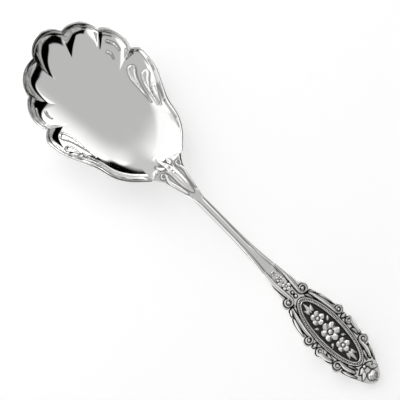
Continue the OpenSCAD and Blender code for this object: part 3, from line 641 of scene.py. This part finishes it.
def plate_lines():
    """Paths and half widths of all the relief on the plate's ground."""
    band = np.stack(medallion_oval(BAND_LINE + BAND_W / 2, np.linspace(0, 2 * math.pi, 160)), 1)
    return ([scroll_line(*line) for line in border_scrolls()]
            + [leaf_line(*line) for line in border_leaves() + tip_leaves() + shell_ribs()]
            + [(np.array([[x * PLATE_L, 0]]), 0.8 * size * CHANNEL_FLOWER_R) for x, size, _ in CHANNEL_FLOWERS]
            + [(np.array([[x * PLATE_L, 0]]), size * BEAD_D) for x, size in AXIS_BEADS] + [(band, BAND_W / 2)])


def plate_half_width(x):
    """Half width of the plate: the smooth outline, and a round bump behind each roll of the border."""
    outline = plate_place(spline(PLATE_KNOTS, 24))
    half = np.interp(x, outline[:, 0], outline[:, 1])
    for _, eye, r, _, _, width in border_scrolls():
        reach = (r + width / 2) ** 2 - (x - eye[0]) ** 2
        half = np.maximum(half, np.where(reach > 0, eye[1] + np.sqrt(np.maximum(reach, 0)), 0))
    return half


def plate_solid():
    """The plate as sections along its length: a ground between its edges, sunk at the channel and the medallion,
    rounded edges and a bevelled back."""
    edge_drop, edge_over, edge_worn, worn_over = 0.3, 0.35, 0.2, 0.3
    channel_end, end_over, wall_in, wall_over = 0.1, 1.0, 0.2, 0.3
    recess_starts, recess_over, back_least = 0.96, 0.06, 0.3
    root_ends, root_fade, tip_starts, tip_over = 0.1, 0.06, 0.85, 0.08
    ground_dull, ends_dull, line_dark, clear_ends, clear_fade = 0.85, 0.25, 1.9, 0.02, 0.1
    x = (PLATE_L * np.sin(np.linspace(0, math.pi / 2, 420)))[:, None]
    half = plate_half_width(x)
    q = np.linspace(-1, 1, 81)[None]
    y = half * q
    medallion = ((x - MEDALLION_X) / (MEDALLION_L / 2)) ** 2 + (y / (MEDALLION_W / 2)) ** 2
    c = float(channel_half_width(PLATE_X))
    channel = (1 - smooth((np.abs(y) - c + wall_in) / wall_over)) * (1 - smooth((x - channel_end * PLATE_L) / end_over))
    recess = 1 - smooth((medallion - recess_starts) / recess_over)
    sunk = np.maximum(PLAQUE_DEPTH * recess, CHANNEL_D * channel)
    inset = half * (1 - np.abs(q))
    top = -sunk - edge_drop * (1 - smooth(inset / edge_over))
    # The ground's tone: the ends are clear, the edges worn bright, and oxide lies round the relief and inside the band
    ends = np.maximum(1 - smooth((x / PLATE_L - root_ends) / root_fade), smooth((x / PLATE_L - tip_starts) / tip_over))
    bright = np.maximum(ends, 1 - smooth((inset - edge_worn) / worn_over))
    bordered = (((x - MEDALLION_X) / (MEDALLION_L / 2 + BAND_LINE)) ** 2
                + (y / (MEDALLION_W / 2 + BAND_LINE)) ** 2 < 1)
    ground = mix(ground_dull, 1, bright) * mix(ends_dull * ends, 1, clear_ground(x + 0 * y, y, plate_lines()))
    # The root goes on from the stem: as clear, with the same lines of oxide along its channel
    root = 1 - smooth((x / PLATE_L - clear_ends) / clear_fade)
    tone = np.where(bordered, 0, ground) + (1 - line_dark * channel_oxide(y, c)) * root
    back_y = np.maximum(half - BACK_BEVEL, back_least * half) * np.linspace(1, -1, 41)[None]
    across = np.concatenate([y, back_y], 1)
    rings = np.stack([np.broadcast_to(x, across.shape), across, np.concatenate([top, 0 * back_y - PLATE_T], 1)], -1)
    return on_plate(skin(rings, np.concatenate([tone, np.ones(back_y.shape)], 1)))


def border_scrolls_solid(flip):
    """The rolled C-scrolls along one edge, with a boss in each eye."""
    solids = [scroll(*line, SCROLL_H, hollow_band()) for line in border_scrolls()]
    solids += [moved(boss(0.2 * r * PLATE_W, LOW_H), (*plate_place(eye), 0))
               for _, eye, r, _, _ in BORDER_SCROLLS]
    return on_plate(moved(joined(solids), flip=flip))


def border_leaves_solid(flip):
    """The narrow leaves between the scrolls and the edge."""
    return on_plate(moved(joined([leaf(*line, LOW_H, veined()) for line in border_leaves()]), flip=flip))


def oval_ring(outside, width, rise):
    """A half-round wire on an oval that stands outside the medallion's edge."""
    t = once_round(240)
    section = half_round()
    out = outside + width / 2 * (1 + np.concatenate([section[:, 0], section[::-1, 0]]))[:, None]
    up = np.concatenate([rise * section[:, 1], 0 * section[:, 1] - FOOT])[:, None]
    tone = np.concatenate([section[:, 2], 0 * section[:, 2]])
    points = np.stack([*medallion_oval(out, t), np.broadcast_to(up, (len(up), len(t)))], -1)
    # The section closes on itself and so does the oval: a ring with no ends
    n, m = points.shape[:2]
    i, j = np.arange(n)[:, None], np.arange(m)[None]
    k, l = (i + 1) % n, (j + 1) % m
    quads = np.stack([i * m + j, k * m + j, k * m + l, i * m + l], -1).reshape(-1, 4)
    points = points.reshape(-1, 3)
    return on_plate((points, *faced_out(points, quads, np.zeros((0, 3), int)), np.repeat(tone, m)))


def plaque_solid():
    """The medallion's ground: an oval disc, its edge turned over."""
    t = once_round(180)
    share = np.concatenate([np.linspace(0.02, 1, 30), [1.0]])[:, None]
    height = np.concatenate([np.zeros(30), [-PLAQUE_T]])[:, None] + PLAQUE_T - PLAQUE_DEPTH
    rings = np.stack([MEDALLION_X + share * (MEDALLION_L / 2 - PLAQUE_PLAY) * np.cos(t),
                      share * (MEDALLION_W / 2 - PLAQUE_PLAY) * np.sin(t),
                      np.broadcast_to(height, (len(share), len(t)))], -1)
    return on_plate(skin(rings, 0.0))


def bead_places():
    """Places of the beads, evenly spaced along the oval between the frame and the band."""
    t = np.linspace(0, 2 * math.pi, 2000)
    oval = np.stack(medallion_oval(BEAD_LINE, t), 1)
    walked = np.concatenate([[0], np.cumsum(np.linalg.norm(np.diff(oval, axis=0), axis=1))])
    count = round(walked[-1] / BEAD_PITCH)
    at = np.interp(np.arange(count) * walked[-1] / count, walked, t)
    return np.stack([*medallion_oval(BEAD_LINE, at), 0 * at], 1)


def on_plaque(solid, x=0.0, turn=0.0):
    """The solid on the medallion's ground, at x from its middle."""
    return on_plate(moved(solid, (MEDALLION_X + x, 0, PLAQUE_T - PLAQUE_DEPTH), turn))


def medallion_leaves_solid():
    """Three leaves at each end of the medallion, and four small ones beside the rosette."""
    root, end = ROSETTE_R + 2 * BLOSSOM_R + 2 * GAP, MEDALLION_L / 2 - 3 * GAP
    solids = [leaf((root, 0), (end, 0), 0, END_LEAF_W, LEAF_H, veined())]
    for up in (-1, 1):
        solids.append(leaf((root, up * 0.75 * END_LEAF_W), (mix(root, end, 0.55), up * 1.3 * END_LEAF_W),
                           up * -0.15, 0.8 * END_LEAF_W, LEAF_H, veined()))
        solids.append(leaf((0.92 * ROSETTE_R, up * 0.6 * ROSETTE_R), (1.3 * ROSETTE_R, up * 0.98 * ROSETTE_R), 0,
                           0.75 * END_LEAF_W, LEAF_H, veined()))
    spray = joined(solids)
    return joined([on_plaque(spray), on_plaque(spray, turn=180)])


def tip_leaves_solid():
    """Two pairs of leaves between the medallion and the shell."""
    return on_plate(both_sides(joined([leaf(*line, SCROLL_H, veined()) for line in tip_leaves()])))


def tip_shell_solid():
    """A fan of ribs, each a half-round leaf."""
    return worn(on_plate(joined([leaf(*line, 0.9 * SCROLL_H, half_round()) for line in shell_ribs()])), SHELL_WORN)


# Materials

def linear(hex_colour):
    """sRGB hex to linear light."""
    c = np.array([int(hex_colour[i:i + 2], 16) for i in (1, 3, 5)]) / 255
    return (*np.where(c <= 0.04045, c / 12.92, ((c + 0.055) / 1.055) ** 2.4), 1.0)


def add(tree, kind, inputs=None, **settings):
    """Adds a node with its settings, and sets its inputs or links them to the sockets given."""
    n = tree.nodes.new(kind)
    for key, value in settings.items():
        setattr(n, key, value)
    for key, value in (inputs or {}).items():
        if isinstance(value, bpy.types.NodeSocket):
            tree.links.new(value, n.inputs[key])
        else:
            n.inputs[key].default_value = value
    return n


def material_of(name, surface):
    """A new material, with the surface that the given function builds in its node tree."""
    material = bpy.data.materials.new(name)
    material.use_nodes = True
    tree = material.node_tree
    tree.nodes.clear()
    add(tree, "ShaderNodeOutputMaterial", {"Surface": surface(tree).outputs[0]})
    return material


def patches(size):
    """Scale of a noise whose patches are this many millimetres across."""
    return 1 / (size * MM)


def polished_silver(tree):
    """Polished sterling silver: a clear, barely softened mirror with faint haze and hairlines from use, a little oxide
    left in the lines of its ornament, and painted shade in the bowl's groove, lip and wall and on the stem's edges."""
    crest = add(tree, "ShaderNodeAttribute", attribute_name="crest").outputs["Fac"]
    colour = add(tree, "ShaderNodeMix", {"Factor": crest, "A": linear("#3a3937"), "B": linear("#f3f3f2")},
                 data_type="RGBA")
    place = add(tree, "ShaderNodeTexCoord").outputs["Object"]
    # Hairlines about 0.2 mm apart and 4 mm long, drawn coarser than real ones so that they show
    stretch = add(tree, "ShaderNodeMapping", {"Vector": place, "Scale": (patches(4), patches(0.2), patches(0.2))})
    hairs = add(tree, "ShaderNodeTexNoise", {"Vector": stretch.outputs[0], "Scale": 1.0, "Detail": 2.0})
    bump = add(tree, "ShaderNodeBump", {"Height": hairs.outputs[0], "Strength": 0.02, "Distance": 0.02 * MM})
    # Haze in patches of about 5.6 mm
    haze = add(tree, "ShaderNodeTexNoise", {"Vector": place, "Scale": 180.0, "Detail": 3.0})
    rough = add(tree, "ShaderNodeMapRange", {
        "Value": haze.outputs[0], "From Min": 0.3, "From Max": 0.7, "To Min": 0.05, "To Max": 0.09})
    return add(tree, "ShaderNodeBsdfPrincipled", {
        "Base Color": colour.outputs["Result"], "Metallic": 1.0, "Roughness": rough.outputs[0],
        "Normal": bump.outputs[0]})


def relief_silver(tree):
    """Struck silver relief: crests polished bright by handling, recesses left dark with oxide."""
    place = add(tree, "ShaderNodeTexCoord").outputs["Object"]
    crest = add(tree, "ShaderNodeAttribute", attribute_name="crest").outputs["Fac"]
    # Tarnish in patches of about 0.6 mm shifts the line between dark and bright
    patch = add(tree, "ShaderNodeTexNoise", {"Vector": place, "Scale": patches(0.625), "Detail": 2.0})
    shifted = add(tree, "ShaderNodeMath", {0: patch.outputs[0], 1: 0.35, 2: crest}, operation="MULTIPLY_ADD")
    bright = add(tree, "ShaderNodeMapRange", {"Value": shifted.outputs[0], "From Min": 0.3, "From Max": 0.85},
                 interpolation_type="SMOOTHSTEP")
    colour = add(tree, "ShaderNodeMix", {"Factor": bright.outputs[0], "A": linear("#1d1c1c"), "B": linear("#f7f6f4")},
                 data_type="RGBA")
    # A crest above 1 marks ground as clear as the polished stem beside it
    clear = add(tree, "ShaderNodeMapRange", {
        "Value": crest, "From Min": 1.0, "From Max": 2.0, "To Min": 0.28, "To Max": 0.07})
    rough = add(tree, "ShaderNodeMapRange", {"Value": bright.outputs[0], "To Min": 0.5, "To Max": clear.outputs[0]})
    return add(tree, "ShaderNodeBsdfPrincipled", {
        "Base Color": colour.outputs["Result"], "Metallic": 1.0, "Roughness": rough.outputs[0]})


def oxidised_silver(tree):
    """Oxidised silver ground: nearly black and matt, with a fine struck grain."""
    place = add(tree, "ShaderNodeTexCoord").outputs["Object"]
    # Grain of about 0.25 mm
    grain = add(tree, "ShaderNodeTexNoise", {"Vector": place, "Scale": patches(0.25), "Detail": 2.0})
    colour = add(tree, "ShaderNodeMix", {"Factor": grain.outputs[0], "A": linear("#0e0e0e"), "B": linear("#5a5958")},
                 data_type="RGBA")
    bump = add(tree, "ShaderNodeBump", {"Height": grain.outputs[0], "Strength": 0.4, "Distance": 0.1 * MM})
    return add(tree, "ShaderNodeBsdfPrincipled", {
        "Base Color": colour.outputs["Result"], "Metallic": 1.0, "Roughness": 0.45, "Normal": bump.outputs[0]})


FINISH = {"polished_silver": material_of("polished_sterling_silver", polished_silver),
          "relief_silver": material_of("struck_silver_with_oxidised_recesses", relief_silver),
          "oxidised_silver": material_of("oxidised_matt_silver", oxidised_silver)}
SHARP_EDGE = 50


def placed(name, points, faces, material):
    """A mesh object at the origin, with one material."""
    mesh = bpy.data.meshes.new(name)
    mesh.from_pydata(points, [], faces)
    mesh.materials.append(material)
    obj = bpy.data.objects.new(name, mesh)
    bpy.context.scene.collection.objects.link(obj)
    return obj


def piece(node, solid, slot="relief_silver"):
    """One mesh in the place of a CAD node, with smooth faces, the crest attribute and its finish."""
    points, quads, tris, tone = solid
    obj = placed("silver_" + node, points * MM, quads.tolist() + tris.tolist(), FINISH[slot])
    obj.data.attributes.new("crest", "FLOAT", "POINT").data.foreach_set("value", tone.astype(np.float32))
    obj.data.shade_smooth()
    obj.data.set_sharp_from_angle(angle=math.radians(SHARP_EDGE))
    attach(obj, "root")
    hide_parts(node)


piece("bowl", bowl_solid(), "polished_silver")
piece("stem", stem_solid(), "polished_silver")
piece("neck_leaf", neck_leaf_solid())
piece("neck_scrolls", neck_scrolls_solid())
piece("handle_plate", plate_solid())
piece("channel_flowers", on_plate(joined([
    moved(flower(size * CHANNEL_FLOWER_R, 5, depth + LEAF_H), (x * PLATE_L, 0, -depth))
    for x, size, depth in CHANNEL_FLOWERS])))
piece("axis_beads", on_plate(joined([
    moved(boss(size * BEAD_D, LOW_H), (x * PLATE_L, 0, 0)) for x, size in AXIS_BEADS])))
for side_name, flip in (("left", False), ("right", True)):
    piece("border_scrolls_" + side_name, border_scrolls_solid(flip))
    piece("border_leaves_" + side_name, border_leaves_solid(flip))
piece("medallion_plaque", plaque_solid(), "oxidised_silver")
piece("medallion_frame", oval_ring(0, FRAME_W, FRAME_H))
piece("bead_border", on_plate(repeated(boss(0.48 * BEAD_D, BEAD_D / 2), bead_places())))
piece("oval_band", oval_ring(BAND_LINE, BAND_W, BAND_H))
piece("medallion_rosette", on_plaque(flower(ROSETTE_R, 6, PLAQUE_DEPTH + LEAF_H)))
piece("medallion_blossoms", joined([
    on_plaque(flower(BLOSSOM_R, 5, PLAQUE_DEPTH + 0.7 * LEAF_H), side * BLOSSOM_X) for side in (-1, 1)]))
piece("medallion_leaves", medallion_leaves_solid())
piece("tip_leaves", tip_leaves_solid())
piece("tip_shell", tip_shell_solid())


# Studio: a white table and a soft tent that only reflections and light see. Sizes are in metres.

TABLE_HALF, TABLE_GLOW, TENT_R = 3, 0.3, 1.0
# The tent's plan, opened out flat: straight up is the middle, and the table's edge is a circle of radius 1. Each part
# has soft edges: shares of x, y and height to measure along, and where on that line the edge starts and ends.
CARD = [((1, 0, 0), -0.29, -0.14), ((-0.5, 1, 0), 0.53, 0.34)]
WALL = [((-5, 1, 0), 2.0, 3.2)]
STRIP = [((-0.8, 1, 0), 0.52, 0.78)]
LOW_WALL = [((0, 1, 0), -0.74, -0.88)]
POST = [((0, 1, 0), 0.16, 0.3), ((2, 1, 0), 0.02, -0.16)]
CORNER_GAP = [((1, 1, 0), 0.76, 0.86), ((1, 1, 0), 1.42, 1.3)]
FRONT_GAP = [((0, 0, 1), 0.36, 0.26), ((1.2, 1, 0), -0.05, 0.1), ((1, 0, 0), 0.1, 0.3)]
STRIP_GAP = [((0.66, 1, 0), 0.25, 0.35), ((1, 0, 0), -0.14, -0.23)]
# Light of the white cloth, what the parts add to it, and the post's own light
CLOTH, ADDED, POST_LIGHT = 1.1, [(CARD, -0.56), (WALL, 0.8), (STRIP, 2.9), (LOW_WALL, 1.2)], 0.62


def table_surface(tree):
    """White table: the picture's white, darkened a little where the spoon keeps the tent's light off it."""
    paint = add(tree, "ShaderNodeBsdfDiffuse", {"Color": linear("#f2f2f2")})
    path = add(tree, "ShaderNodeLightPath")
    seen = path.outputs["Is Camera Ray"]
    for ray in ("Is Glossy Ray", "Is Transmission Ray"):
        seen = add(tree, "ShaderNodeMath", {0: seen, 1: path.outputs[ray]}, operation="MAXIMUM").outputs[0]
    level = add(tree, "ShaderNodeMath", {0: seen, 1: TABLE_GLOW}, operation="MULTIPLY")
    glow = add(tree, "ShaderNodeEmission", {"Strength": level.outputs[0]})
    return add(tree, "ShaderNodeAddShader", {0: paint.outputs[0], 1: glow.outputs[0]})


def tent_surface(tree):
    """Studio tent of white cloth: a grey card over the top, a bright wall at -X and a bright strip at +Y with a pale
    post between them, a low wall at -Y, and dark gaps in the corner between +X and +Y, at +X and beside the strip."""
    place = add(tree, "ShaderNodeTexCoord").outputs["Object"]
    way = add(tree, "ShaderNodeVectorMath", {0: place}, operation="NORMALIZE").outputs[0]
    height = add(tree, "ShaderNodeSeparateXYZ", {0: way}).outputs["Z"]
    # Opened out flat, a place is its direction divided by the root of 1 plus its height
    raised = add(tree, "ShaderNodeMath", {0: height, 1: 1.0}, operation="ADD").outputs[0]
    share = add(tree, "ShaderNodeMath", {0: raised, 1: -0.5}, operation="POWER").outputs[0]
    flat = add(tree, "ShaderNodeVectorMath", {0: way, "Scale": share}, operation="SCALE").outputs[0]
    flat = add(tree, "ShaderNodeSeparateXYZ", {0: flat})
    plan = add(tree, "ShaderNodeCombineXYZ", {0: flat.outputs[0], 1: flat.outputs[1], 2: height}).outputs[0]

    def inside(edges):
        """How far inside a part a place lies: its soft edges, each 0 at the start and 1 at the end, multiplied."""
        whole = 1.0
        for along, start, end in edges:
            at = add(tree, "ShaderNodeVectorMath", {0: plan, 1: along}, operation="DOT_PRODUCT").outputs["Value"]
            edge = add(tree, "ShaderNodeMapRange", {"Value": at, "From Min": start, "From Max": end},
                       interpolation_type="SMOOTHSTEP").outputs[0]
            whole = add(tree, "ShaderNodeMath", {0: whole, 1: edge}, operation="MULTIPLY").outputs[0]
        return whole

    level, gap = CLOTH, 0.0
    for edges, more in ADDED:
        level = add(tree, "ShaderNodeMath", {0: inside(edges), 1: more, 2: level}, operation="MULTIPLY_ADD").outputs[0]
    level = add(tree, "ShaderNodeMix", {"Factor": inside(POST), "A": level, "B": POST_LIGHT}).outputs["Result"]
    for edges in (CORNER_GAP, FRONT_GAP, STRIP_GAP):
        gap = add(tree, "ShaderNodeMath", {0: gap, 1: inside(edges)}, operation="MAXIMUM").outputs[0]
    level = add(tree, "ShaderNodeMix", {"Factor": gap, "A": level, "B": 0.0}).outputs["Result"]
    return add(tree, "ShaderNodeEmission", {"Strength": level})


def tent_dome(around, rings):
    """Half a sphere as rings from the table up, open below and closed by a fan at the top: points and faces."""
    turn, rise = np.meshgrid(once_round(around), np.linspace(0.001, math.pi / 2 - 0.001, rings))
    points = TENT_R * np.stack([np.cos(rise) * np.cos(turn), np.cos(rise) * np.sin(turn), np.sin(rise)], -1)
    points, quads, tris, _ = skin(points, 0.0)
    return points, quads.tolist() + tris[around:].tolist()


corners = [(x * TABLE_HALF, y * TABLE_HALF, 0) for x, y in ((-1, -1), (1, -1), (1, 1), (-1, 1))]
table = placed("white_table", corners, [(0, 1, 2, 3)], material_of("white_table", table_surface))
tent = placed("studio_tent", *tent_dome(96, 48), material_of("studio_tent", tent_surface))
tent.visible_camera = False
tent.visible_shadow = False

world = bpy.data.worlds.new("white_surround")
bpy.context.scene.world = world
world.use_nodes = True
surround = world.node_tree.nodes["Background"]
surround.inputs["Color"].default_value = (1, 1, 1, 1)
surround.inputs["Strength"].default_value = 1.0

# Camera: nearly overhead on the spoon's right-hand side, turned so that the spoon runs from corner to corner.
# WIDTH is the picture's breadth at the place it looks at.
TILT, ROLL = math.radians(17.6), math.radians(44.6)
DISTANCE, WIDTH, SENSOR = 0.8, 0.129, 36.0
LOOK_AT = np.array([0.0427, 0.0, 0.006])
along, across = np.array([1, 0, 0]), np.array([0, math.cos(TILT), math.sin(TILT)])
right = math.cos(ROLL) * along + math.sin(ROLL) * across
above = -math.sin(ROLL) * along + math.cos(ROLL) * across
back = np.cross(right, above)
where = LOOK_AT + DISTANCE * back
camera_data = bpy.data.cameras.new("camera")
camera_data.sensor_width = SENSOR
camera_data.lens = SENSOR * DISTANCE / WIDTH
camera = bpy.data.objects.new("camera", camera_data)
bpy.context.scene.collection.objects.link(camera)
camera.matrix_world = Matrix([[*row, w] for row, w in zip(np.stack([right, above, back], 1), where)] + [[0, 0, 0, 1]])
bpy.context.scene.camera = camera

bpy.context.scene.view_settings.view_transform = "Standard"
